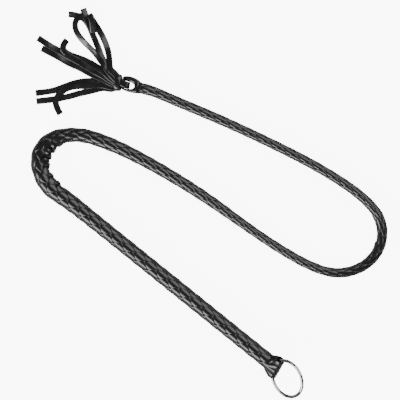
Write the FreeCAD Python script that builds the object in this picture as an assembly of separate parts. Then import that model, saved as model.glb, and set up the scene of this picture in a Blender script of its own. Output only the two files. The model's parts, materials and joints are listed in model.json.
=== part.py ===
"""A braided whip: ring at the butt, stiff handle, flexible tapering thong, strip tassel at the tip.

Millimetres, +Z up. The origin is on the handle's axis in the middle of the grip, and +X runs along
the handle towards the butt. The whip lies on a table, whose top is one handle radius below the origin.
"""

import FreeCAD, Part
import math
import os
from FreeCAD import Rotation, Vector

# Handle and braid
HANDLE_D = 18.0
HANDLE_FRONT = 46.0  # from the origin to the end of the braid at the butt
HANDLE_BACK = 216.0  # from the origin to the end of the stiff handle
PLAIT_T = 1.2  # one plaiting strip
STRANDS = 8
THONG_D = 11.4  # of the flexible thong, past its taper
TAPER_START = 100.0  # along the thong, from the end of the handle
TAPER_END = 330.0

# Tape round the joint between the rod and the rope core
BINDING_T = 0.6
BINDING_HALF = 9.0

# Ring and the folds that hold it
RING_OUTER_D = 45.0
RING_WIRE_D = 3.6
RING_IN_FOLDS = 25.7  # the straight line across the stretch of ring inside the folds
FOLD_SKEW = 13.4  # degrees, that line turned from square to the handle, seen from above
FOLD_SLOPE = 34.3  # degrees, that line's fall towards -Y
RING_TILT = 22.7  # degrees, the ring raised from in line with the handle
RING_CLEARANCE = 0.35
BUTT_REACH = 12.0  # from the end of the braid to the middle of the folds
FOLD_GAP = 0.2

# Thread round the end of the braid
WHIPPING_L = 2.0
WHIPPING_T = 0.6
WHIPPING_INSET = 1.5

# Eye at the tip
EYE_L = 18.2  # from the end of the thong to the bar
EYE_T = 5.0
EYE_W = 17.0
EYE_BAR_D = 2.8
EYE_HOLE_L = 12.1
EYE_BAR_END_W = 14.0

# Tassel strips, folded over the eye's bar
TASSEL_W = 7.2
TASSEL_T = 0.8
TASSEL_CLEARANCE = 0.4  # between the bar and the innermost strip
LEG_L = 12.0  # straight, from the bar to where the tails spread
WRAP_START = 3.2  # from the bar, which lets the tassel swing up past the eye's edge
WRAP_L = 5.0
WRAP_T = 0.9
WRAP_CLEARANCE = 0.1

# The thong's route, seen from above, from the end of the handle to the eye
THONG_ROUTE = [
    (-216, 0), (-236, 0), (-262, -3), (-285, 9), (-294, 27), (-289, 47), (-270, 65), (-248, 74),
    (-224, 81), (-195, 87), (-164, 92), (-132, 96), (-101, 98.5), (-72, 100), (-42, 102), (-13, 105),
    (14, 109.5), (38, 117), (55, 130), (66, 150), (67, 171), (59, 188), (46, 200), (28, 205),
    (6, 206), (-19, 204), (-47, 200), (-75, 194.5), (-104, 188), (-133, 181), (-162, 173.5),
    (-190, 165.5), (-216, 158), (-240, 151.5), (-252, 145.4),
]

# Each tail's route, from the folded strips to its cut end: X, Y and height above the table.
# A strip's two tails are its upper one and its lower one, and the innermost strip comes first.
TAIL_ROUTES = [
    (
        [(-294, 135, 7), (-308, 134, 3), (-321, 131, 0.5), (-333, 127, 0.5), (-344, 125, 0.5),
         (-352, 131, 0.5)],
        [(-292, 131, 5.4), (-306, 128, 3.6), (-320, 127, 2), (-333, 124, 2), (-347, 122, 1.8),
         (-361, 119, 1.6), (-374, 117, 0.8)],
    ),
    (
        [(-292, 139, 8), (-305, 146, 4), (-317, 153, 0.6), (-330, 160, 0.5), (-341, 166, 0.5),
         (-353, 167, 0.5), (-362, 161, 0.5)],
        [(-290, 128, 4.3), (-302, 124, 2.6), (-316, 122, 0.8), (-330, 118, 0.5), (-345, 114, 0.5),
         (-361, 111, 0.5)],
    ),
    (
        [(-292, 139, 9), (-305, 146, 5), (-317, 153, 1.6), (-330, 160, 1.5), (-342, 167, 3),
         (-355, 175, 3.1)],
        [(-286, 123, 2.9), (-296, 113, 2.6), (-307, 104, 2), (-315, 94, 2), (-317, 81, 2),
         (-312, 72, 1.6), (-301, 68, 0.5)],
    ),
    (
        [(-294, 140, 10), (-309, 144, 6.5), (-322, 146, 3), (-333, 147, 0.8), (-344, 150, 0.5),
         (-351, 157, 1), (-352, 165, 1.8), (-349, 174, 1.8)],
        [(-289, 125, 2), (-300, 117, 1.6), (-309, 108, 1), (-316, 97, 0.5), (-323, 85, 0.5),
         (-330, 77, 0.5), (-338, 69, 0.5)],
    ),
    (
        [(-289, 143, 12.6), (-299, 152, 7), (-310, 160, 2), (-322, 166, 1.5), (-337, 171, 4.2),
         (-345, 174, 4.8), (-345.2, 174.1, 9.8), (-337, 170, 10.4), (-329, 161, 7.4)],
        [(-283, 121, 1.3), (-291, 110, 0.9), (-300, 99, 0.5), (-309, 86, 0.5), (-320, 74, 0.5),
         (-332, 62, 0.5)],
    ),
]

# Sizes that follow
HANDLE_R = HANDLE_D / 2
THONG_R = THONG_D / 2
WALL = 2 * PLAIT_T
TABLE_Z = -HANDLE_R
UP = Vector(0, 0, 1)


def export(node, shape):
    """Writes one node."""
    if not shape.isValid():
        raise ValueError(node + " is not a valid shape")
    shape.exportStep("parts/" + node + ".step")


def tube(start, direction, length, outer_r, inner_r):
    outside = Part.makeCylinder(outer_r, length, start, direction)
    return outside.cut(Part.makeCylinder(inner_r, length, start, direction))


def legs_of(points, set_backs=None):
    """The route's straight runs and tangent arcs, in order, and each arc's radius.

    An arc starts 0.45 of the shorter run before its point, unless set_backs gives a distance.
    """
    set_backs = set_backs or {}
    legs = []
    radii = []
    here = points[0]
    for i in range(1, len(points) - 1):
        before = points[i] - points[i - 1]
        after = points[i + 1] - points[i]
        turn = before.getAngle(after)
        set_back = set_backs.get(i, 0.45 * min(before.Length, after.Length))
        radius = set_back / math.tan(turn / 2)
        before.normalize()
        after.normalize()
        axis = before.cross(after).normalize()
        start = points[i] - before * set_back
        centre = start + axis.cross(before) * radius
        legs.append(("run", i - 1, here, start))
        legs.append(("arc", i, centre, axis, math.degrees(turn)))
        radii.append(radius)
        here = points[i] + after * set_back
    legs.append(("run", len(points) - 2, here, points[-1]))
    return legs, radii


def round_skin(points, radii):
    """The side faces of a round tube along a route, and the circles at its two ends."""
    faces = []
    legs, bends = legs_of(points)
    side = UP - (points[1] - points[0]).normalize() * UP.dot((points[1] - points[0]).normalize())
    side.normalize()
    heading = (points[1] - points[0]).normalize()
    first = circle_at(points[0], heading, side, radii[0])
    for leg in legs:
        if leg[0] == "run":
            _, i, start, end = leg
            heading = (end - start).normalize()
            low, high = start + side * radii[i], end + side * radii[i + 1]
            faces.append(Part.makeLine(low, high).revolve(start, heading, 360))
            here = end
        else:
            _, i, centre, axis, degrees = leg
            ring = circle_at(here, heading, side, radii[i])
            faces.append(ring.revolve(centre, axis, degrees))
            turn = Rotation(axis, degrees)
            side, heading = turn.multVec(side), turn.multVec(heading)
    return faces, first, circle_at(points[-1], heading, side, radii[-1]), bends


def circle_at(centre, heading, side, radius):
    """A circle square to heading, which starts on the given side."""
    across = heading.cross(side)
    return Part.Circle(centre + side * radius, centre + across * radius, centre - side * radius).toShape()


def sewn(faces):
    shell = Part.makeShell(faces)
    shell.sewShape()
    solid = Part.makeSolid(shell)
    if solid.Volume < 0:
        solid.reverse()
    return solid


def rod_along(points, radii):
    """A round bar along a route, with a radius for each point."""
    faces, first, last, bends = round_skin(points, radii)
    caps = [Part.Face(Part.Wire([first])), Part.Face(Part.Wire([last]))]
    return sewn(faces + caps), bends


def tube_along(points, outer, inner):
    """A round tube along a route, with its outer and inner radius at each point."""
    outside, out_first, out_last, bends = round_skin(points, outer)
    inside, in_first, in_last, _ = round_skin(points, inner)
    caps = []
    for big, small in ((out_first, in_first), (out_last, in_last)):
        disc = Part.Face(Part.Wire([big]))
        caps.append(disc.cut(Part.Face(Part.Wire([small]))).Faces[0])
    return sewn(outside + inside + caps), bends


def ribbon_along(points, width, thickness, set_backs, level_at):
    """A flat strip along a route, level across at the point whose number is level_at."""
    legs, bends = legs_of(points, set_backs)
    heading = (points[level_at] - points[level_at - 1]).normalize()
    across = heading.cross(UP).normalize() * (width / 2)
    through = across.cross(heading).normalize() * (thickness / 2)
    for leg in reversed(legs):
        if leg[0] == "arc" and leg[1] < level_at:
            back = Rotation(leg[3], -leg[4])
            across, through = back.multVec(across), back.multVec(through)
    corners = [across + through, across - through, -across - through, -across + through]
    outline = Part.makePolygon([points[0] + c for c in corners + corners[:1]])
    faces = [Part.Face(outline)]
    for leg in legs:
        if leg[0] == "run":
            travel = leg[3] - leg[2]
            if travel.Length > 1e-6:
                faces += [edge.extrude(travel) for edge in outline.Edges]
                outline.translate(travel)
        else:
            _, _, centre, axis, degrees = leg
            faces += [edge.revolve(centre, axis, degrees) for edge in outline.Edges]
            outline.rotate(centre, axis, degrees)
    faces.append(Part.Face(outline))
    return sewn(faces), bends


# The thong's measures along its route


def thong_radius(travelled):
    """The braid's radius at a distance along the thong."""
    share = (travelled - TAPER_START) / (TAPER_END - TAPER_START)
    share = min(1.0, max(0.0, share))
    return HANDLE_R + (THONG_R - HANDLE_R) * share


def thong_line():
    """The thong's points, resting on the table up to the whipping, and the braid's radius at each."""
    points, radii, travelled = [], [], 0.0
    for here, after in zip(THONG_ROUTE, THONG_ROUTE[1:] + THONG_ROUTE[-1:]):
        run = math.dist(here, after)
        points.append(Vector(*here, TABLE_Z + thong_radius(travelled)))
        radii.append(thong_radius(travelled + run / 2))
        travelled += run
    points[-2:] = [p + UP * WHIPPING_T for p in points[-2:]]
    return points, radii


# Handle and thong


def handle_rod():
    butt = Vector(HANDLE_FRONT, 0, 0)
    back = Vector(-1, 0, 0)
    rod_r = HANDLE_R - WALL
    length = HANDLE_FRONT + HANDLE_BACK
    rod = Part.makeCylinder(rod_r, length, butt, back)
    neck_start = butt + back * (length - BINDING_HALF)
    return rod.cut(tube(neck_start, back, BINDING_HALF, rod_r + 1, rod_r - BINDING_T))


def handle_braid():
    length = HANDLE_FRONT + HANDLE_BACK
    return tube(Vector(-HANDLE_BACK, 0, 0), Vector(1, 0, 0), length, HANDLE_R, HANDLE_R - WALL)


def core_binding():
    rod_r = HANDLE_R - WALL
    start = Vector(-HANDLE_BACK - BINDING_HALF, 0, 0)
    return tube(start, Vector(1, 0, 0), 2 * BINDING_HALF, rod_r, rod_r - BINDING_T)


def thong_core():
    points, radii = thong_line()
    core, bends = rod_along(points, [r - WALL for r in radii])
    core_r = HANDLE_R - WALL
    start = Vector(-HANDLE_BACK, 0, 0)
    groove = tube(start, Vector(-1, 0, 0), BINDING_HALF, core_r + 1, core_r - BINDING_T)
    return core.cut(groove).Solids[0], bends


def thong_braid():
    points, radii = thong_line()
    return tube_along(points, radii, [r - WALL for r in radii])


# Ring and butt


def fold_frame():
    """The folds' own frame: out from the handle, up and along the folds, and the point at its middle."""
    slope, skew = math.radians(FOLD_SLOPE), math.radians(FOLD_SKEW)
    level = math.cos(slope)
    along = Vector(level * math.sin(skew), -level * math.cos(skew), -math.sin(slope))
    out = (Vector(1, 0, 0) - along * along.x).normalize()
    up = along.cross(out).normalize()
    half = RING_IN_FOLDS / 2
    lift = TABLE_Z + half * math.sin(slope) + (fold_bore_r() + PLAIT_T) * level + 0.05
    return out, up, along, Vector(HANDLE_FRONT + BUTT_REACH, 0, lift)


def ring_sizes():
    """The ring's centre-line radius, its wire's radius, and the folds' line's distance from its centre."""
    wire_r = RING_WIRE_D / 2
    near = math.sqrt((RING_OUTER_D / 2 - RING_WIRE_D) ** 2 - (RING_IN_FOLDS / 2) ** 2)
    return RING_OUTER_D / 2 - wire_r, wire_r, (near + RING_OUTER_D / 2) / 2


def fold_bore_r():
    """The folds' inner radius, in which the bowed wire turns freely."""
    _, _, offset = ring_sizes()
    return RING_OUTER_D / 2 - offset + RING_CLEARANCE


def ring_place():
    """The ring's centre, the way from the folds to it, and its normal."""
    out, up, along, middle = fold_frame()
    tilt = math.radians(RING_TILT)
    reach = out * math.cos(tilt) + up * math.sin(tilt)
    return middle + reach * ring_sizes()[2], along.cross(reach)


def chrome_ring():
    centre, normal = ring_place()
    ring_r, wire_r, _ = ring_sizes()
    return Part.makeTorus(ring_r, wire_r, centre, normal)


def fold_leg(place, side, low, high, angle):
    """One strand from a fold to its place round the end of the handle's braid."""
    _, up, along, middle = fold_frame()
    inner = fold_bore_r()
    outer = inner + PLAIT_T
    start = [(low, inner), (high, inner), (high, outer), (low, outer)]
    start = [middle + along * c + up * (side * f) for c, f in start]
    seat_r = HANDLE_R - WALL / 2
    half_w = 0.9 * math.pi * seat_r / STRANDS
    half_t = WALL / 4
    flat_along = Vector(0, along.y, along.z).normalize()
    flat_up = Vector(1, 0, 0).cross(flat_along) * -side
    if flat_up.dot(up) * side < 0:
        flat_up = flat_up * -1
    radial = flat_along * math.cos(angle) + flat_up * math.sin(angle)
    tangent = flat_along * math.sin(angle) - flat_up * math.cos(angle)
    seat = Vector(HANDLE_FRONT, 0, 0) + radial * seat_r
    end = [(-half_w, -half_t), (half_w, -half_t), (half_w, half_t), (-half_w, half_t)]
    end = [seat + tangent * t + radial * r for t, r in end]
    wires = [Part.makePolygon(corners + corners[:1]) for corners in (start, end)]
    return Part.makeLoft(wires, True, True)


def butt_loop(place):
    """One strip's fold over the ring, with its two legs."""
    out, up, along, middle = fold_frame()
    pitch = 2 * RING_IN_FOLDS / STRANDS
    low = -RING_IN_FOLDS / 2 + place * pitch + FOLD_GAP / 2
    high = low + pitch - FOLD_GAP
    inner = fold_bore_r()
    start = middle + along * low
    band = tube(start, along, high - low, inner + PLAIT_T, inner)
    reach = 4 * inner
    corner = start - up * reach - along
    slab = Part.Face(Part.makePolygon([
        corner, corner + up * (2 * reach), corner + up * (2 * reach) + out * reach,
        corner + out * reach, corner,
    ]))
    band = band.common(slab.extrude(along * (high - low + 2)))
    angle = math.pi * (1 - (2 * place + 1) / STRANDS)
    legs = [fold_leg(place, side, low, high, angle) for side in (1, -1)]
    return band.multiFuse(legs).Solids[0]


# Tip


def tip_frame():
    """The tip's own frame: back towards the thong, across, and the middle of the eye's bar."""
    before, last = THONG_ROUTE[-2], THONG_ROUTE[-1]
    back = Vector(before[0] - last[0], before[1] - last[1], 0).normalize()
    across = UP.cross(back)
    stack = EYE_BAR_D / 2 + TASSEL_CLEARANCE + len(TAIL_ROUTES) * TASSEL_T
    height = TABLE_Z + stack + WRAP_CLEARANCE + WRAP_T
    return back, across, Vector(last[0], last[1], height) - back * EYE_L


def at_tip(shape):
    """A shape made about the bar, moved to the tip."""
    back, _, bar = tip_frame()
    shape.rotate(Vector(0, 0, 0), UP, math.degrees(math.atan2(back.y, back.x)))
    shape.translate(bar)
    return shape


def tip_whipping():
    before, end = thong_line()[0][-2:]
    back = (before - end).normalize()
    return tube(end + back * WHIPPING_INSET, back, WHIPPING_L, THONG_R + WHIPPING_T, THONG_R)


def tip_eye():
    """A leaf-shaped loop, with a round bar across its end."""
    bar_r = EYE_BAR_D / 2
    corner_y = EYE_BAR_END_W / 2
    hole_r = TASSEL_W / 2 + 0.6
    centre_x = bar_r + EYE_HOLE_L - hole_r
    edges = []
    for side in (1, -1):
        thong_end = Vector(EYE_L, side * THONG_R, 0)
        belly = Vector(EYE_L / 2, side * EYE_W / 2, 0)
        bar_end = Vector(-bar_r, side * corner_y, 0)
        edges.append(Part.Arc(thong_end, belly, bar_end).toShape())
        edges.append(Part.makeLine(bar_end, Vector(-bar_r, side * hole_r, 0)))
        edges.append(Part.makeLine(Vector(-bar_r, side * hole_r, 0), Vector(centre_x, side * hole_r, 0)))
    edges.append(Part.makeLine(Vector(EYE_L, THONG_R, 0), Vector(EYE_L, -THONG_R, 0)))
    hole_top = Vector(centre_x, hole_r, 0)
    hole_bottom = Vector(centre_x, -hole_r, 0)
    edges.append(Part.Arc(hole_top, Vector(centre_x + hole_r, 0, 0), hole_bottom).toShape())
    outline = Part.Wire(Part.__sortEdges__(edges))
    frame = Part.Face(outline).extrude(Vector(0, 0, EYE_T))
    frame.translate(Vector(0, 0, -EYE_T / 2))
    half_bar = (hole_r + corner_y) / 2
    bar = Part.makeCylinder(bar_r, 2 * half_bar, Vector(0, -half_bar, 0), Vector(0, 1, 0))
    return at_tip(frame.fuse(bar).removeSplitter().Solids[0])


def tassel_wrap():
    stack = EYE_BAR_D / 2 + TASSEL_CLEARANCE + len(TAIL_ROUTES) * TASSEL_T + WRAP_CLEARANCE
    half_w = TASSEL_W / 2 + WRAP_CLEARANCE
    x = -WRAP_START - WRAP_L
    outside = Part.makeBox(
        WRAP_L, 2 * (half_w + WRAP_T), 2 * (stack + WRAP_T), Vector(x, -half_w - WRAP_T, -stack - WRAP_T)
    )
    outside = outside.makeFillet(WRAP_T, [e for e in outside.Edges if abs(e.tangentAt(0).x) > 0.9])
    inside = Part.makeBox(WRAP_L, 2 * half_w, 2 * stack, Vector(x, -half_w, -stack))
    return at_tip(outside.cut(inside))


def tassel_strip(place):
    """One strip, from the end of its upper tail, over the bar and back to the end of its lower tail."""
    back, _, bar = tip_frame()
    fold_r = EYE_BAR_D / 2 + TASSEL_CLEARANCE + (place + 0.5) * TASSEL_T
    upper, lower = [[Vector(x, y, TABLE_Z + h) for x, y, h in route] for route in TAIL_ROUTES[place]]
    fold = [
        bar - back * LEG_L + UP * fold_r,
        bar + back * fold_r + UP * fold_r,
        bar + back * fold_r - UP * fold_r,
        bar - back * LEG_L - UP * fold_r,
    ]
    spread = len(upper)
    spread_start = LEG_L - WRAP_START - WRAP_L
    set_backs = {spread: spread_start, spread + 1: fold_r, spread + 2: fold_r, spread + 3: spread_start}
    points = upper[::-1] + fold + lower
    return ribbon_along(points, TASSEL_W, TASSEL_T, set_backs, spread + 1)


def main():
    os.makedirs("parts", exist_ok=True)
    export("chrome_ring", chrome_ring())
    for place in range(STRANDS // 2):
        export("butt_loop_" + str(place + 1), butt_loop(place))
    export("handle_rod", handle_rod())
    export("handle_braid", handle_braid())
    export("core_binding", core_binding())
    core, _ = thong_core()
    export("thong_core", core)
    braid, bends = thong_braid()
    export("thong_braid", braid)
    print("thong bend radii", [round(r) for r in bends])
    export("tip_whipping", tip_whipping())
    export("tip_eye", tip_eye())
    export("tassel_wrap", tassel_wrap())
    for place in range(len(TAIL_ROUTES)):
        strip, bends = tassel_strip(place)
        export("tassel_strip_" + str(place + 1), strip)
        print("tassel strip", place + 1, "bend radii", [round(r, 1) for r in bends])


main()
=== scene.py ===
import json
import math

import bmesh
import bpy
import numpy as np
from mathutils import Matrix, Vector


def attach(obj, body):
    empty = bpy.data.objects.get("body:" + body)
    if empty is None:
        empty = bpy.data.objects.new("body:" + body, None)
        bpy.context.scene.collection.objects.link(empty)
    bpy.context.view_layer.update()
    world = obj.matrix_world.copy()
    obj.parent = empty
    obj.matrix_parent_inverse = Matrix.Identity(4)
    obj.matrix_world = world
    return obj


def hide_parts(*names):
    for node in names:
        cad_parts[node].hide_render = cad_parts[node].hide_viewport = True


# The braided whip's looks: plaited strips, rope core, eye, tassel, ring, table, light and camera

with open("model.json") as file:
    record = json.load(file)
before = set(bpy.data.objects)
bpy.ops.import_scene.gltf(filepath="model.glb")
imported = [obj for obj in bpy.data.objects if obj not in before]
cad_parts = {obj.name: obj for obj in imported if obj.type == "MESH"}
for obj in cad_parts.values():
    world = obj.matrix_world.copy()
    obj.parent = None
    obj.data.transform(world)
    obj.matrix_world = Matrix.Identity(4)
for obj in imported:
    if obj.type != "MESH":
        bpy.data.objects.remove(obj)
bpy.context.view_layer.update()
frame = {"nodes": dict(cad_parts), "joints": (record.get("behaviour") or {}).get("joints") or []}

MM = 0.001
TABLE_Z = -9.0  # mm, one handle radius below the origin
UP = np.array([0, 0, 1.0])

# ---------------------------------------------------------------- camera

VIEW_CENTRE = Vector((-0.1219, 0.0911, 0.0))
VIEW_SIDE = 0.440
VIEW_TURN = math.radians(38.8)
LENS = 120.0
SENSOR = 36.0


def make_camera():
    data = bpy.data.cameras.new("camera")
    data.lens = LENS
    data.sensor_width = SENSOR
    camera = bpy.data.objects.new("camera", data)
    distance = VIEW_SIDE * LENS / SENSOR
    camera.location = VIEW_CENTRE + Vector((0, 0, distance))
    camera.rotation_euler = (0, 0, VIEW_TURN)
    bpy.context.scene.collection.objects.link(camera)
    bpy.context.scene.camera = camera


make_camera()

# ---------------------------------------------------------------- helpers


def new_mesh(name, points, faces, smooth=True):
    mesh = bpy.data.meshes.new(name)
    mesh.from_pydata([tuple(p) for p in points], [], [tuple(f) for f in faces])
    mesh.polygons.foreach_set("use_smooth", [smooth] * len(mesh.polygons))
    mesh.update()
    obj = bpy.data.objects.new(name, mesh)
    bpy.context.scene.collection.objects.link(obj)
    return obj


def loft(name, rings, closed=False, caps=True):
    """A mesh through rings of points, each ring a closed loop; closed joins the last ring to the first."""
    rings = np.asarray(rings, float)
    n, m = rings.shape[:2]
    faces = []
    for i in range(n if closed else n - 1):
        a, b = i * m, ((i + 1) % n) * m
        faces += [(a + k, a + (k + 1) % m, b + (k + 1) % m, b + k) for k in range(m)]
    if caps and not closed:
        faces += [tuple(range(m - 1, -1, -1)), tuple(range((n - 1) * m, n * m))]
    obj = new_mesh(name, rings.reshape(-1, 3), faces)
    fix_normals(obj)
    return obj


def fix_normals(obj):
    work = bmesh.new()
    work.from_mesh(obj.data)
    bmesh.ops.recalc_face_normals(work, faces=work.faces)
    work.to_mesh(obj.data)
    work.free()


def nurbs(name, points_mm):
    """A smooth curve object with the route's points as its control points."""
    curve = bpy.data.curves.new(name, "CURVE")
    curve.dimensions = "3D"
    curve.resolution_u = 24
    spline = curve.splines.new("NURBS")
    spline.points.add(len(points_mm) - 1)
    for point, place in zip(spline.points, points_mm):
        point.co = (place[0] * MM, place[1] * MM, place[2] * MM, 1.0)
    spline.order_u = 3
    spline.use_endpoint_u = True
    obj = bpy.data.objects.new(name, curve)
    bpy.context.scene.collection.objects.link(obj)
    return obj


def line_of(obj):
    """The points down a bare curve object, in millimetres."""
    mesh = bpy.data.meshes.new_from_object(obj)
    line = np.array([v.co for v in mesh.vertices], float) / MM
    bpy.data.meshes.remove(mesh)
    return line


def unit(v):
    v = np.asarray(v, float)
    return v / np.linalg.norm(v, axis=-1, keepdims=True)


def travel(line):
    return np.concatenate([[0.0], np.cumsum(np.linalg.norm(np.diff(line, axis=0), axis=1))])


class Path:
    """A line that can be read at any distance along it, and a little past its ends."""

    def __init__(self, line):
        self.line = line
        self.at = travel(line)
        self.length = self.at[-1]
        self.heading = unit(np.gradient(line, self.at, axis=0))
        self.bend = np.gradient(self.heading, self.at, axis=0)

    def points(self, s):
        s = np.asarray(s, float)
        inside = np.clip(s, 0.0, self.length)
        p = np.stack([np.interp(inside, self.at, self.line[:, k]) for k in range(3)], -1)
        return p + (s - inside)[..., None] * self.headings(s)

    def headings(self, s):
        s = np.clip(np.asarray(s, float), 0.0, self.length)
        return unit(np.stack([np.interp(s, self.at, self.heading[:, k]) for k in range(3)], -1))

    def bends(self, s):
        """How the heading turns per millimetre: it points to the inside of the bend."""
        return np.stack([np.interp(s, self.at, self.bend[:, k]) for k in range(3)], -1)


# ---------------------------------------------------------------- routes

HANDLE_FRONT = 46.0
HANDLE_BACK = 216.0

THONG_ROUTE = [
    (-216, 0, 0), (-236, 0, 0.8), (-262, -3, 1.0), (-285, 9, 0.6), (-294, 27, 0.6), (-289, 47, 0.3),
    (-270, 65, -0.7), (-248, 74, -1.0), (-224, 81, -1.3), (-195, 87, -1.8), (-164, 92, -2.1),
    (-132, 96, -2.3), (-101, 98.5, -2.9), (-72, 100, -3.4), (-42, 102, -3.5), (-13, 105, -3.5),
    (14, 109.5, -3.5), (38, 117, -3.4), (55, 130, -3.2), (66, 150, -3.0), (67, 171, -3.0),
    (59, 188, -3.0), (46, 200, -3.1), (28, 205, -3.3), (6, 206, -3.4), (-19, 204, -3.4),
    (-47, 200, -3.4), (-75, 194.5, -3.4), (-104, 188, -3.4), (-133, 181, -3.4), (-162, 173.5, -3.3),
    (-190, 165.5, -3.2), (-216, 158, -3.1), (-240, 151.5, -2.5), (-252, 145.4, -2.4),
]

# Distance from the butt and the braid's outer radius there
GIRTH = [
    (0, 9.0), (225, 9.0), (262, 9.25), (284, 9.9), (306, 9.8), (327, 9.3), (345, 9.5), (365, 9.2),
    (384, 8.2), (405, 8.0), (425, 8.0), (452, 7.6), (477, 7.2), (500, 7.0), (536, 6.75), (574, 6.2),
    (598, 5.6), (620, 5.4), (712, 5.45), (730, 5.8), (760, 6.0), (805, 6.0), (850, 5.65),
    (1000, 5.6), (1020, 5.8), (1090, 5.9), (1108, 6.3),
]

# Distance from the butt and the length in which a strand goes once round
LAY = [(0, 65), (230, 63), (290, 57), (370, 57), (430, 62), (520, 66), (700, 68), (1120, 69)]

thong_curve = nurbs("thong_core_rope", THONG_ROUTE)
thong_line = line_of(thong_curve)
handle_line = np.stack([np.linspace(HANDLE_FRONT, -HANDLE_BACK, 132), np.zeros(132), np.zeros(132)], 1)
whip = Path(np.concatenate([handle_line[:-1], thong_line]))
thong = Path(thong_line)


def girth(s):
    at, radius = np.array(GIRTH, float).T
    return np.interp(s, at, radius)


# ---------------------------------------------------------------- plaited strips

STRAND_T = 0.9
STRANDS_A_HAND = 4
COVER = 0.97  # share of its place on the braid that a strand fills
FIRST_STRAND = math.radians(22.5)
WEAVE = 0.47  # how far a strand goes in and out
CROWN = 0.3  # how much lower a strand's edges lie than its middle
STEP = 1.6
# Inside a bend a strand buckles once it is squeezed, as a share of its length, by more than the first
# value; past the second it buckles no further
SQUEEZE_FROM = 0.12
SQUEEZE_MOST = 0.2
BUCKLE = 20.0
# A strand's or strip's section: its points' places across it and in its thickness, from -1 to 1
SECTION = [
    (-1, 0.0), (-0.95, 0.6), (-0.8, 0.9), (-0.45, 1.0), (0, 1.0), (0.45, 1.0), (0.8, 0.9),
    (0.95, 0.6), (1, 0.0), (0.93, -0.75), (0.5, -1.0), (0, -1.0), (-0.5, -1.0), (-0.93, -0.75),
]
# The folds over the ring, from the CAD model's ring joint
FOLD_BORE = 4.67
FOLD_PITCH = 25.7 / 4
FOLD_HALF_W = FOLD_PITCH * 0.49
FOLD_PLAY = 0.1  # between the bore and the strip
FOLD_CROWN = 0.25
BRIDGE_RINGS = 7  # between a fold and the braid
joint = next(j for j in frame["joints"] if j["name"] == "ring_swing")
fold_middle = np.array(joint["pos_m"]) / MM
fold_along = unit(joint["axis"])
fold_out = unit(np.array([1.0, 0, 0]) - fold_along * fold_along[0])
fold_up = np.cross(fold_along, fold_out)
plait_start = math.atan2(-fold_along[2], -fold_along[1])


def turn_at(s):
    """How far round, in radians, a strand has gone at a distance from the butt."""
    at = np.linspace(-40, 1200, 2481)
    lay = np.interp(at, *np.array(LAY, float).T)
    turned = np.concatenate([[0.0], np.cumsum(2 * math.pi / lay[:-1] * np.diff(at))])
    turned -= np.interp(0.0, at, turned)
    return np.interp(s, at, turned) + FIRST_STRAND


def square_wave(x):
    """A cosine of period 2 whose tops and troughs are flattened."""
    flatness = 2.0
    return np.tanh(flatness * np.cos(math.pi * x)) / math.tanh(flatness)


def on_braid(s, theta, radius, over):
    """Points at a distance along the whip, an angle round it and a radius from its middle.

    Where a strand lies over another on the inside of a tight bend, it buckles outwards.
    """
    heading = whip.headings(s)
    side = unit(np.cross(UP, heading))
    top = np.cross(heading, side)
    angle = theta - plait_start
    out = np.cos(angle)[..., None] * side + np.sin(angle)[..., None] * top
    squeezed = np.clip((whip.bends(s) * out).sum(-1) * radius - SQUEEZE_FROM, 0, SQUEEZE_MOST)
    return whip.points(s) + (radius + BUCKLE * squeezed * over**2)[..., None] * out


def strand_rings(hand, number, away, start, end):
    """One strand's cross sections. hand is 1 or -1, away is 1 from the butt and -1 towards it."""
    s0 = np.arange(start, end, STEP)
    u, rise = np.array(SECTION, float).T
    mid_r = girth(s0) - STRAND_T
    lay = np.interp(s0, *np.array(LAY, float).T)
    slant = np.arctan2(2 * math.pi * mid_r, lay)
    half_w = 0.5 * COVER * (2 * math.pi * mid_r / STRANDS_A_HAND) * np.cos(slant)
    theta0 = hand * turn_at(s0) + number * 2 * math.pi / STRANDS_A_HAND
    s = s0[:, None] + away * hand * u * (half_w * np.sin(slant))[:, None]
    theta = theta0[:, None] - away * u * (half_w * np.cos(slant) / mid_r)[:, None]
    other = (theta + hand * turn_at(s)) * STRANDS_A_HAND / (2 * math.pi)
    over = hand * square_wave(other - number)
    radius = girth(s) - STRAND_T + WEAVE * over + rise * STRAND_T / 2 - CROWN * u**2
    rings = on_braid(s, theta, radius, np.clip(over, 0, 1))
    return rings if away == 1 else rings[::-1]


def fold_rings(place):
    """The cross sections of a strip's fold over the ring, from above to below."""
    u, rise = np.array(SECTION, float).T
    middle = fold_middle + fold_along * (place - 1.5) * FOLD_PITCH
    rings = []
    for angle in np.radians(np.linspace(90, -90, 19)):
        out = math.cos(angle) * fold_out + math.sin(angle) * fold_up
        radius = FOLD_BORE + FOLD_PLAY + STRAND_T / 2 + rise * STRAND_T / 2 - FOLD_CROWN * u**2
        rings.append(middle - fold_along * (u * FOLD_HALF_W)[:, None] + radius[:, None] * out)
    return np.array(rings)


def bridge(before, after, count):
    """Cross sections that lead smoothly from one set to the next."""
    gap = np.linalg.norm(after[0].mean(0) - before[-1].mean(0))
    p0, p1 = before[-1], after[0]
    m0 = unit(before[-1].mean(0) - before[-3].mean(0)) * gap
    m1 = unit(after[2].mean(0) - after[0].mean(0)) * gap
    rings = []
    for t in np.linspace(0, 1, count + 2)[1:-1]:
        h00, h10 = 2 * t**3 - 3 * t**2 + 1, t**3 - 2 * t**2 + t
        h01, h11 = -2 * t**3 + 3 * t**2, t**3 - t**2
        rings.append(h00 * p0 + h10 * m0 + h01 * p1 + h11 * m1)
    return np.array(rings)


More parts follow.
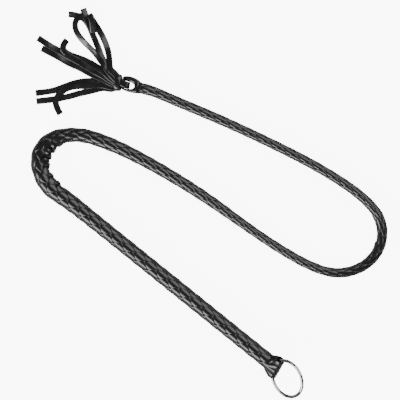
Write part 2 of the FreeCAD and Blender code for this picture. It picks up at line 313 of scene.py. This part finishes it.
def make_plait_strip(place):
    """A strip from its end at the tip to the ring, over it, and back to the tip in the other plait."""
    first, between_hands = math.degrees(FIRST_STRAND), 360 / STRANDS_A_HAND
    angle = 180 - first - place * between_hands / 2  # round the butt, of the strip's upper leg
    hands = []
    for at in (angle, -angle):
        for hand in (1, -1):
            turns = (at - hand * first) / between_hands
            if abs(turns - round(turns)) < 1e-6:
                hands.append((hand, round(turns)))
    upper = strand_rings(*hands[0], -1, 1.0, whip.length - 0.5)
    lower = strand_rings(*hands[1], 1, 1.0, whip.length - 0.5)
    fold = fold_rings(place)
    rings = [upper, bridge(upper, fold, BRIDGE_RINGS), fold, bridge(fold, lower, BRIDGE_RINGS), lower]
    return loft(f"plait_strip_{place + 1}", np.concatenate(rings) * MM)


# ---------------------------------------------------------------- materials


def material(name, colour, roughness, **sockets):
    made = bpy.data.materials.new(name)
    made.use_nodes = True
    shader = made.node_tree.nodes["Principled BSDF"]
    shader.inputs["Base Color"].default_value = (*colour, 1.0)
    shader.inputs["Roughness"].default_value = roughness
    for socket, value in sockets.items():
        shader.inputs[socket.replace("_", " ")].default_value = value
    return made, made.node_tree, shader


def noise(tree, coords, scale, detail=3.0, rough=0.55):
    node = tree.nodes.new("ShaderNodeTexNoise")
    node.inputs["Scale"].default_value = scale
    node.inputs["Detail"].default_value = detail
    node.inputs["Roughness"].default_value = rough
    tree.links.new(coords, node.inputs["Vector"])
    return node.outputs["Fac"]


def object_coords(tree):
    return tree.nodes.new("ShaderNodeTexCoord").outputs["Object"]


def ramp(tree, value, low, high):
    node = tree.nodes.new("ShaderNodeMapRange")
    node.inputs["To Min"].default_value = low
    node.inputs["To Max"].default_value = high
    tree.links.new(value, node.inputs["Value"])
    return node.outputs["Result"]


def bump(tree, height, strength, distance, under=None):
    node = tree.nodes.new("ShaderNodeBump")
    node.inputs["Strength"].default_value = strength
    node.inputs["Distance"].default_value = distance
    tree.links.new(height, node.inputs["Height"])
    if under is not None:
        tree.links.new(under, node.inputs["Normal"])
    return node.outputs["Normal"]


def patent_leather(name, wrinkle):
    made, tree, shader = material(name, (0.006, 0.006, 0.007), 0.3, Coat_Weight=0.6, Coat_Roughness=0.1)
    coords = object_coords(tree)
    tree.links.new(ramp(tree, noise(tree, coords, 120), 0.24, 0.4), shader.inputs["Roughness"])
    folds = bump(tree, noise(tree, coords, 110, 1.5), wrinkle, 0.0008)
    tree.links.new(folds, shader.inputs["Coat Normal"])
    grain = bump(tree, noise(tree, coords, 2200, 1.0), 0.05, 0.0001, folds)
    tree.links.new(grain, shader.inputs["Normal"])
    mix = tree.nodes.new("ShaderNodeMix")
    mix.data_type = "RGBA"
    mix.inputs["A"].default_value = (0.004, 0.004, 0.005, 1)
    mix.inputs["B"].default_value = (0.01, 0.01, 0.011, 1)
    tree.links.new(noise(tree, coords, 300), mix.inputs["Factor"])
    tree.links.new(mix.outputs["Result"], shader.inputs["Base Color"])
    return made


def dress(obj, made):
    obj.data.materials.clear()
    obj.data.materials.append(made)


plait_leather = patent_leather("plait_leather_gloss", 0.16)
for place in range(4):
    strip = make_plait_strip(place)
    dress(strip, plait_leather)
    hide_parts(f"butt_loop_{place + 1}", "handle_braid", "thong_braid")
    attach(strip, "whip")

# ---------------------------------------------------------------- rope core

WALL = 2.75  # from the braid's outside to the rope core
core_data = thong_curve.data
core_data.bevel_depth = 0.001
core_data.bevel_resolution = 6
core_data.use_fill_caps = True
along_route = travel(np.array(THONG_ROUTE, float))
for point, travelled in zip(core_data.splines[0].points, along_route):
    distance = HANDLE_FRONT + HANDLE_BACK + travelled * thong.length / along_route[-1]
    point.radius = float(girth(distance) - WALL)
rope, rope_tree, rope_shader = material("core_rope_fibre", (0.62, 0.58, 0.5), 0.9)
fibre = rope_tree.nodes.new("ShaderNodeTexWave")
fibre.inputs["Scale"].default_value = 120
fibre.inputs["Distortion"].default_value = 2.0
rope_tree.links.new(object_coords(rope_tree), fibre.inputs["Vector"])
rope_tree.links.new(bump(rope_tree, fibre.outputs["Fac"], 0.6, 0.001), rope_shader.inputs["Normal"])
dress(thong_curve, rope)
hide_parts("thong_core")
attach(thong_curve, "whip")

# ---------------------------------------------------------------- tip

tassel_joint = next(j for j in frame["joints"] if j["name"] == "tassel_swing")
bar = np.array(tassel_joint["pos_m"]) / MM
across = unit(tassel_joint["axis"])
back = np.array([across[1], -across[0], 0.0])


def at_tip(x, y, z):
    """A point of the tip's own frame, whose origin is the middle of the eye's bar."""
    x, y, z = [np.asarray(v)[..., None] for v in (x, y, z)]
    return bar + x * back + y * across + z * UP


# Half outline of the eye, from the middle of the bar round to the thong: inner edge, outer edge and
# half height
EYE = [
    ((1.4, 0), (-1.4, 0), 1.4), ((1.4, 2.6), (-1.4, 2.8), 1.4), ((1.6, 4.0), (-1.5, 5.2), 1.6),
    ((2.8, 4.2), (-1.5, 7.2), 2.4), ((5.5, 4.1), (3.8, 8.7), 3.4), ((8.0, 3.7), (9.0, 8.9), 3.8),
    ((10.2, 3.1), (13.0, 8.5), 4.2), ((11.6, 2.3), (17.0, 7.7), 4.7), ((12.3, 1.5), (19.0, 6.7), 5.2),
    ((12.7, 0.8), (19.6, 3.4), 5.6), ((12.8, 0), (19.6, 0), 5.7),
]
# Distance from the bar and how far the outer edge lies to the side there
LEAN = [(-2, 1.8), (6, 1.8), (12, 1.2), (17, 0.5), (20, 0.2)]


def make_eye():
    """The leather loop at the tip, with its bar at one end and the hole between."""
    rows = EYE + [((a, -b), (c, -d), h) for (a, b), (c, d), h in EYE[-2:0:-1]]
    rings = []
    angles = np.radians(np.arange(0, 360, 30))
    for (ix, iy), (ox, oy), high in rows:
        oy += np.interp(ox, *np.array(LEAN).T)
        mx, my = (ix + ox) / 2, (iy + oy) / 2
        hx, hy = (ox - ix) / 2, (oy - iy) / 2
        c, s = np.cos(angles), np.sin(angles)
        flat = np.sign(s) * np.abs(s) ** 0.6
        rings.append(at_tip(mx + c * hx, my + c * hy, flat * high))
    eye = loft("eye_loop", np.array(rings) * MM, closed=True)
    smoother = eye.modifiers.new("smooth", "SUBSURF")
    smoother.levels = smoother.render_levels = 2
    return eye


eye = make_eye()
dress(eye, plait_leather)
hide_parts("tip_eye")
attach(eye, "whip")


def make_whipping():
    """Thread round the end of the braid, three turns side by side."""
    turns, thread, pitch, lift = 3, 0.26, 0.58, 0.15
    s_mid = whip.length - 1.3
    rings = []
    for t in np.linspace(0, turns, turns * 28 + 1):
        s = s_mid + (t - turns / 2) * pitch
        heading = whip.headings(s)
        side = unit(np.cross(UP, heading))
        top = np.cross(heading, side)
        out = math.cos(2 * math.pi * t) * side + math.sin(2 * math.pi * t) * top
        centre = whip.points(s) + out * (girth(s) + lift)
        a = np.radians(np.arange(0, 360, 60))
        rings.append(centre + thread * (np.cos(a)[:, None] * out + np.sin(a)[:, None] * heading))
    return loft("whipping_thread", np.array(rings) * MM)


whipping = make_whipping()
thread, thread_tree, thread_shader = material("whipping_thread_waxed", (0.012, 0.012, 0.012), 0.5)
thread_tree.links.new(
    bump(thread_tree, noise(thread_tree, object_coords(thread_tree), 2500), 0.5, 0.0002),
    thread_shader.inputs["Normal"],
)
dress(whipping, thread)
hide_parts("tip_whipping")
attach(whipping, "whip")

# ---------------------------------------------------------------- tassel

STRIP_W = 7.2
STRIP_T = 0.8
FOLD_R = 2.2  # of the innermost strip round the bar
WAVE_LENGTH = 47.0
WAVE_START = 16.0  # from the fold
WAVE_GROWTH = 20.0
WAVE_ROLL = 11.0  # how far, in degrees, the strips roll to either side as they lie
PINCH = 1.4  # how much nearer the band brings the legs to each other
SLACK = 2.4  # of the outermost strip where it folds round the bar
LEG = 11.5
SPREAD = [(2, 0), (7, -2), (8, -6), (5, -4), (10.5, -8)]  # how far each leg, upper and lower, fans out

# Each strip: its upper tail's points from its cut end, then its lower tail's to its cut end. Each point is
# X, Y, height above the table and the strip's roll there in degrees.
TAILS = [
    (
        [(-347, 137, 4.0, 10), (-347.5, 129.5, 3.4, 10), (-342, 124.5, 2.2, 10),
         (-331, 127, 1.2, 0), (-321, 131, 0.9, 0),
         (-308, 134, 3, 0), (-294, 135, 7, 0)],
        [(-292, 131, 5.4, 0), (-306, 128, 3.6, 0), (-320, 127, 2, 0), (-333, 124, 2, 0),
         (-347, 122, 1.8, 0), (-361, 119.5, 1.6, 0), (-374, 118.5, 0.8, 0)],
    ),
    (
        [(-364, 160, 0.6, 0), (-354, 167, 0.6, 0), (-341, 166, 0.6, 0), (-330, 160, 0.6, 0),
         (-317, 153, 0.8, 0), (-305, 146, 4, 0), (-292, 139, 8, 0)],
        [(-290, 128, 4.3, 0), (-302, 124, 2.6, 0), (-316, 122, 0.9, 0), (-330, 118, 0.6, 0),
         (-345, 116, 0.6, 0), (-364, 112, 0.6, 0)],
    ),
    (
        [(-355, 175, 3.1, 0), (-342, 167, 3, 0), (-330, 160, 1.6, 0), (-317, 153, 1.8, 0),
         (-305, 146, 5, 0), (-292, 139, 9, 0)],
        [(-286, 123, 2.9, 0), (-296, 113, 2.6, 0), (-307, 104, 2, 0), (-315, 94, 2, 0),
         (-317, 81, 2, 0), (-312, 72, 1.6, 0), (-301, 68, 0.6, 0)],
    ),
    (
        [(-349, 174, 1.8, 0), (-353, 165, 1.9, 0), (-353, 157, 1.7, 12), (-345, 150, 2.6, 30),
         (-333, 147, 3.2, 32), (-322, 146, 4.2, 25), (-309, 144, 6.5, 10), (-294, 140, 10, 0)],
        [(-289, 125, 2, 0), (-300, 117, 1.6, 0), (-309, 108, 1, 0), (-316, 97, 0.6, 0),
         (-323, 85, 0.6, 0), (-330, 77, 0.6, 0), (-338, 69, 0.6, 0)],
    ),
    (
        [(-329, 161, 7.4, 0), (-337, 170, 10.4, 0), (-345.2, 174.1, 9.8, 0), (-345, 174, 4.8, 0),
         (-337, 171, 4.2, 0), (-322, 166, 1.5, 0), (-310, 160, 2, 0), (-299, 152, 7, 0),
         (-288.5, 140.4, 12.6, 0)],
        [(-283, 121, 1.3, 0), (-291, 110, 1.0, 0), (-300, 99, 0.6, 0), (-309, 86, 0.6, 0),
         (-320, 74, 0.6, 0), (-332, 62, 0.6, 0)],
    ),
]


def fold_points(place):
    """The strip's points round the eye's bar, from above to below; its legs fan out beyond the band."""
    r = FOLD_R + STRIP_T * place
    upper, lower = SPREAD[place]
    tight = r - PINCH
    slack = SLACK * place / 4
    flat = [(-LEG, upper, tight), (-LEG * 0.6, upper * 0.6, tight), (0, 0, r), (r + slack, 0, r),
            (r + slack, 0, -r), (0, 0, -r), (-LEG * 0.6, lower * 0.6, -tight), (-LEG, lower, -tight)]
    return [(*at_tip(x, y, z), 0) for x, y, z in flat]


def make_tassel_strip(place):
    """A strip from one cut end round the bar to the other, and its middle line."""
    upper, lower = [[(x, y, TABLE_Z + h, roll) for x, y, h, roll in tail] for tail in TAILS[place]]
    points = upper + fold_points(place) + lower
    curve = nurbs("route", [p[:3] for p in points])
    line = line_of(curve)
    bpy.data.objects.remove(curve)
    path = Path(line)
    s = np.arange(0, path.length, 1.0)
    centres, headings = path.points(s), path.headings(s)
    control_s = [path.at[np.linalg.norm(line - np.array(p[:3]), axis=1).argmin()] for p in points]
    control_s = np.maximum.accumulate(control_s)
    rolls = np.radians(np.interp(s, control_s, [p[3] for p in points]))
    from_fold = np.abs(s - np.median(s[centres[:, 0] > bar[0]]))
    phase = 2.1 * place + np.where(s > s.mean(), 1.3, 0.0)  # so that no two tails roll alike
    wave = np.sin(2 * math.pi * from_fold / WAVE_LENGTH + phase)
    twist = math.radians(WAVE_ROLL) * wave * np.clip((from_fold - WAVE_START) / WAVE_GROWTH, 0, 1)
    rolls = rolls + twist
    centres[:, 2] += np.abs(np.sin(twist)) * STRIP_W / 2
    wide = level_across(headings)
    u, rise = np.array(SECTION, float).T
    rings = []
    for centre, heading, level, roll in zip(centres, headings, wide, rolls):
        through = np.cross(heading, level)
        side = math.cos(roll) * level + math.sin(roll) * through
        out = np.cross(heading, side)
        rings.append(centre + (u * STRIP_W / 2)[:, None] * side + (rise * STRIP_T / 2)[:, None] * out)
    return loft(f"tassel_tails_{place + 1}", np.array(rings) * MM), centres


def level_across(headings):
    """The level way across a strip for each of its headings; where it runs steeply, the way it had before."""
    steep = 0.85
    wide = []
    last = None
    for heading in headings:
        if abs(heading[2]) < steep:
            now = unit(np.cross(heading, UP))
            if last is not None and now @ last < 0:
                now = -now
        else:
            now = unit(last - heading * (heading @ last))
        wide.append(now)
        last = now
    return np.array(wide)


tassel_leather = patent_leather("tassel_leather_gloss", 0.12)
for place in range(5):
    strip, centres = make_tassel_strip(place)
    dress(strip, tassel_leather)
    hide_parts(f"tassel_strip_{place + 1}")
    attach(strip, "tassel")


def make_wrap():
    """The band that holds the folded strips together: one strip wound round them twice, crossing on top."""
    half_w, half_h, width, wall = 8.3, 5.2, 6.0, 0.6
    start, drift = -7.4, 3.6  # along the tip: where both ends lie, and how much further the middle does
    slant = -0.1  # along the tip, for each millimetre across it
    off_middle = 0.7
    lap = 0.62  # how much further out the second turn lies
    corner, puffed = 0.75, 0.35
    rings = []
    u, rise = np.array(SECTION, float).T
    for turn in np.linspace(0, 2, 129):
        angle = 2 * math.pi * turn - math.pi / 2
        c, s = math.cos(angle), math.sin(angle)
        layer = lap * (1 + math.tanh(6 * (turn - 1))) / 2
        y = off_middle + (half_w + layer) * math.copysign(abs(c) ** corner, c)
        z = (half_h + layer * max(s, 0)) * math.copysign(abs(s) ** corner, s)
        x = start + drift * (1 - abs(turn - 1)) + slant * y
        out = unit([c, s])
        puff = rise * wall / 2 + puffed * (1 - u**2)
        rings.append(at_tip(x + u * width / 2, y + puff * out[0], z + puff * out[1]))
    return loft("wrap_band", np.array(rings) * MM)


wrap = make_wrap()
dress(wrap, tassel_leather)
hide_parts("tassel_wrap")
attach(wrap, "tassel")

# ---------------------------------------------------------------- carried-over CAD parts

chrome, chrome_tree, chrome_shader = material("ring_chrome_polished", (0.56, 0.57, 0.59), 0.06, Metallic=1.0)
chrome_coords = object_coords(chrome_tree)
chrome_tree.links.new(
    ramp(chrome_tree, noise(chrome_tree, chrome_coords, 200), 0.04, 0.1), chrome_shader.inputs["Roughness"]
)
ring = frame["nodes"]["chrome_ring"]
ring.data.materials.clear()
ring.data.materials.append(chrome)
ring.data.polygons.foreach_set("use_smooth", [True] * len(ring.data.polygons))

wood, wood_tree, wood_shader = material("rod_wood_grain", (0.5, 0.33, 0.18), 0.6)
grain = wood_tree.nodes.new("ShaderNodeTexWave")
grain.inputs["Scale"].default_value = 60
grain.inputs["Distortion"].default_value = 6.0
wood_tree.links.new(object_coords(wood_tree), grain.inputs["Vector"])
wood_tree.links.new(bump(wood_tree, grain.outputs["Fac"], 0.2, 0.0005), wood_shader.inputs["Normal"])
rod = frame["nodes"]["handle_rod"]
rod.data.materials.clear()
rod.data.materials.append(wood)

tape, tape_tree, tape_shader = material("binding_tape_cloth", (0.05, 0.05, 0.05), 0.9)
tape_tree.links.new(
    bump(tape_tree, noise(tape_tree, object_coords(tape_tree), 1800), 0.6, 0.0003),
    tape_shader.inputs["Normal"],
)
binding = frame["nodes"]["core_binding"]
binding.data.materials.clear()
binding.data.materials.append(tape)

# ---------------------------------------------------------------- table and light


TABLE_HALF = 14.0
TABLE_GLOW = 8.5
GLOSS_GLOW = 0.35
GLOSS_DROP = 0.02


def make_sheet(name, z, made_name, colour, roughness, glow):
    """A square glowing sheet that belongs to the stage."""
    half = TABLE_HALF
    corners = [(-half, -half, z), (half, -half, z), (half, half, z), (-half, half, z)]
    sheet = new_mesh(name, corners, [(0, 1, 2, 3)], smooth=False)
    made, _, shader = material(made_name, colour, roughness, Emission_Strength=glow)
    shader.inputs["Emission Color"].default_value = (1, 1, 1, 1)
    sheet.data.materials.append(made)
    return sheet


def make_floor():
    """The white table; gloss does not see it but a much dimmer sheet under it, as if less lit."""
    z = TABLE_Z * MM
    floor = make_sheet("floor", z, "floor_white", (0.9, 0.9, 0.9), 0.8, TABLE_GLOW)
    floor.visible_glossy = False
    in_gloss = make_sheet(
        "floor_in_gloss", z - GLOSS_DROP, "floor_in_gloss_white", (0, 0, 0), 1.0, GLOSS_GLOW
    )
    in_gloss.visible_camera = False


def area_light(name, place, target, size, power):
    data = bpy.data.lights.new(name, "AREA")
    data.shape = "RECTANGLE"
    data.size, data.size_y = size
    data.energy = power
    light = bpy.data.objects.new(name, data)
    light.location = place
    aim = Vector(target) - Vector(place)
    light.rotation_euler = aim.to_track_quat("-Z", "Y").to_euler()
    bpy.context.scene.collection.objects.link(light)


make_floor()
IMAGE_UP = Vector((-math.sin(VIEW_TURN), math.cos(VIEW_TURN), 0))
IMAGE_RIGHT = Vector((math.cos(VIEW_TURN), math.sin(VIEW_TURN), 0))
UP_RIGHT = (IMAGE_UP + IMAGE_RIGHT) / math.sqrt(2)
area_light("key", VIEW_CENTRE + UP_RIGHT * 1.35 + Vector((0, 0, 1.4)), VIEW_CENTRE, (2.0, 1.7), 24)
area_light("fill", VIEW_CENTRE - UP_RIGHT * 1.5 + Vector((0, 0, 0.95)), VIEW_CENTRE, (2.0, 0.9), 44)
world = bpy.data.worlds.new("world")
world.use_nodes = True
world.node_tree.nodes["Background"].inputs["Color"].default_value = (1, 1, 1, 1)
world.node_tree.nodes["Background"].inputs["Strength"].default_value = 0.1
bpy.context.scene.world = world
